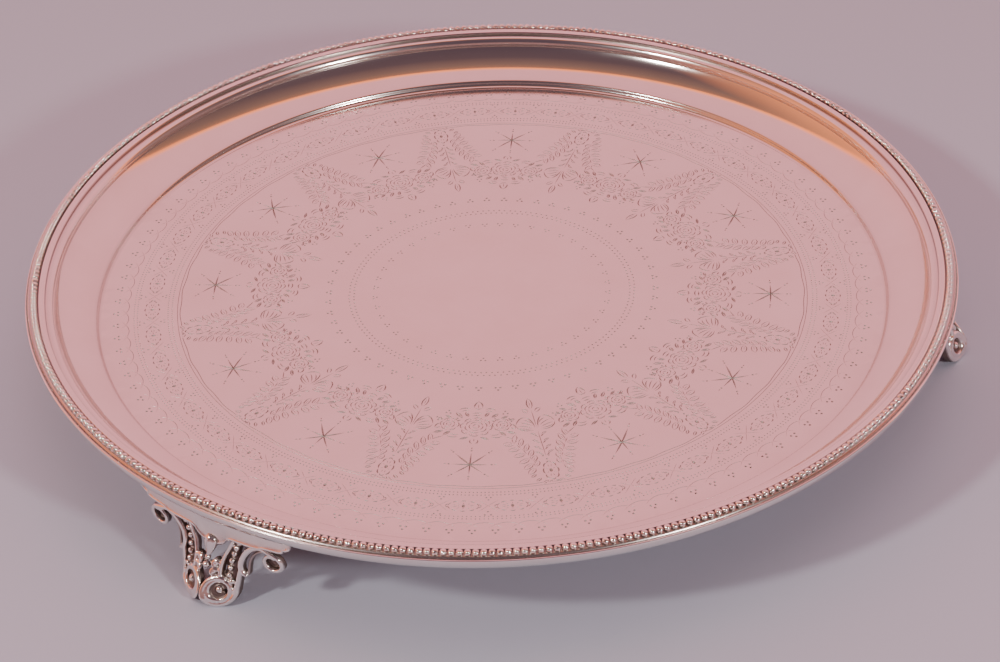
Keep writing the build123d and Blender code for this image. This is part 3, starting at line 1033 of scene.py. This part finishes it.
# %% [markdown]
# ## Table and light
# A plain pale table, and soft studio light. The well works as a mirror: from the camera it shows the
# far side of the room, so the room is bright there and makes the whole floor glow evenly, with the
# engraving dark against it. The room behind the camera is dim, which gives the wall its shading, and two
# small lamps on that side leave the bright spots on the wall and the beads.

# %% Table
def make_table():
    """A plain pale surface under the feet."""
    mesh = bmesh.new()
    bmesh.ops.create_grid(mesh, x_segments=1, y_segments=1, size=4)
    data = bpy.data.meshes.new("table")
    mesh.to_mesh(data)
    mesh.free()
    table = bpy.data.objects.new("table", data)
    bpy.context.scene.collection.objects.link(table)
    paint = bpy.data.materials.new("table_paint")
    paint.use_nodes = True
    shader = paint.node_tree.nodes["Principled BSDF"]
    shader.inputs["Base Color"].default_value = (0.44, 0.46, 0.56, 1)
    shader.inputs["Roughness"].default_value = 0.6
    data.materials.append(paint)


make_table()
print("table laid at Z = 0")


# %% Lights
def panel(name, place, target, wide, tall, power, colour, glossy=True):
    """A soft rectangular light that faces a target."""
    data = bpy.data.lights.new(name, "AREA")
    data.shape = "RECTANGLE"
    data.size = wide
    data.size_y = tall
    data.energy = power
    data.color = colour
    light = bpy.data.objects.new(name, data)
    light.location = place
    light.rotation_euler = (Vector(target) - Vector(place)).to_track_quat("-Z", "Y").to_euler()
    light.visible_glossy = glossy
    bpy.context.scene.collection.objects.link(light)


panel("top_panel", (0.2, -0.2, 1.7), (0, 0, 0), 1.2, 1.2, 5, (1.0, 0.9, 0.95), glossy=False)

LAMP_DISTANCE = 1.6
LAMP_SIZE = 0.14
LAMP_POWER = 13


def lamp(name, azimuth, elevation):
    """A small bright lamp in a direction given in degrees."""
    a, e = math.radians(azimuth), math.radians(elevation)
    place = Vector((math.cos(a) * math.cos(e), math.sin(a) * math.cos(e), math.sin(e))) * LAMP_DISTANCE
    panel(name, place, (0, 0, 0), LAMP_SIZE, LAMP_SIZE, LAMP_POWER, (1.0, 0.92, 0.88))


lamp("right_lamp", -44, 27)
lamp("left_lamp", -139, 39)


# %% Soft pink tent
def tent():
    """A room that is bright overhead and on the far side, and dim brown behind the camera."""
    world = bpy.data.worlds.new("tent")
    world.use_nodes = True
    nodes = world.node_tree.nodes
    links = world.node_tree.links
    ways = nodes.new("ShaderNodeTexCoord")
    split = nodes.new("ShaderNodeSeparateXYZ")
    links.new(ways.outputs["Generated"], split.inputs["Vector"])
    lift = nodes.new("ShaderNodeMath")
    lift.operation = "MULTIPLY_ADD"
    lift.inputs[1].default_value = 0.25
    links.new(split.outputs["Z"], lift.inputs[0])
    links.new(split.outputs["Y"], lift.inputs[2])
    ramp = nodes.new("ShaderNodeValToRGB")
    shades = ((0.0, (0.10, 0.065, 0.09)), (0.45, (0.15, 0.09, 0.10)), (0.62, (0.30, 0.16, 0.13)),
              (0.684, (0.46, 0.20, 0.13)), (0.704, (2.3, 0.58, 0.18)), (0.736, (1.25, 0.52, 0.56)),
              (1.0, (1.25, 0.52, 0.58)))
    elements = ramp.color_ramp.elements
    while len(elements) < len(shades):
        elements.new(0.5)
    for element, (position, colour) in zip(elements, shades):
        element.position = position
        element.color = (*colour, 1)
    half = nodes.new("ShaderNodeMath")
    half.operation = "MULTIPLY_ADD"
    half.inputs[1].default_value = 0.5
    half.inputs[2].default_value = 0.5
    links.new(lift.outputs[0], half.inputs[0])
    links.new(half.outputs[0], ramp.inputs["Fac"])
    # a warm wall to the left, seen only where the tent is dark
    warm = nodes.new("ShaderNodeMapRange")
    warm.inputs["From Min"].default_value = -0.55
    warm.inputs["From Max"].default_value = -0.95
    links.new(split.outputs["X"], warm.inputs["Value"])
    glow = nodes.new("ShaderNodeMix")
    glow.data_type = "RGBA"
    glow.blend_type = "LIGHTEN"
    glow.inputs["B"].default_value = (1.35, 0.42, 0.18, 1)
    links.new(warm.outputs["Result"], glow.inputs["Factor"])
    links.new(ramp.outputs["Color"], glow.inputs["A"])
    # a low wall all round, a little lighter than the dim side
    low = nodes.new("ShaderNodeMapRange")
    low.inputs["From Min"].default_value = 0.42
    low.inputs["From Max"].default_value = 0.12
    links.new(split.outputs["Z"], low.inputs["Value"])
    wall = nodes.new("ShaderNodeMix")
    wall.data_type = "RGBA"
    wall.blend_type = "LIGHTEN"
    wall.inputs["B"].default_value = (0.42, 0.22, 0.21, 1)
    links.new(low.outputs["Result"], wall.inputs["Factor"])
    links.new(glow.outputs["Result"], wall.inputs["A"])
    links.new(wall.outputs["Result"], nodes["Background"].inputs["Color"])
    bpy.context.scene.world = world


tent()
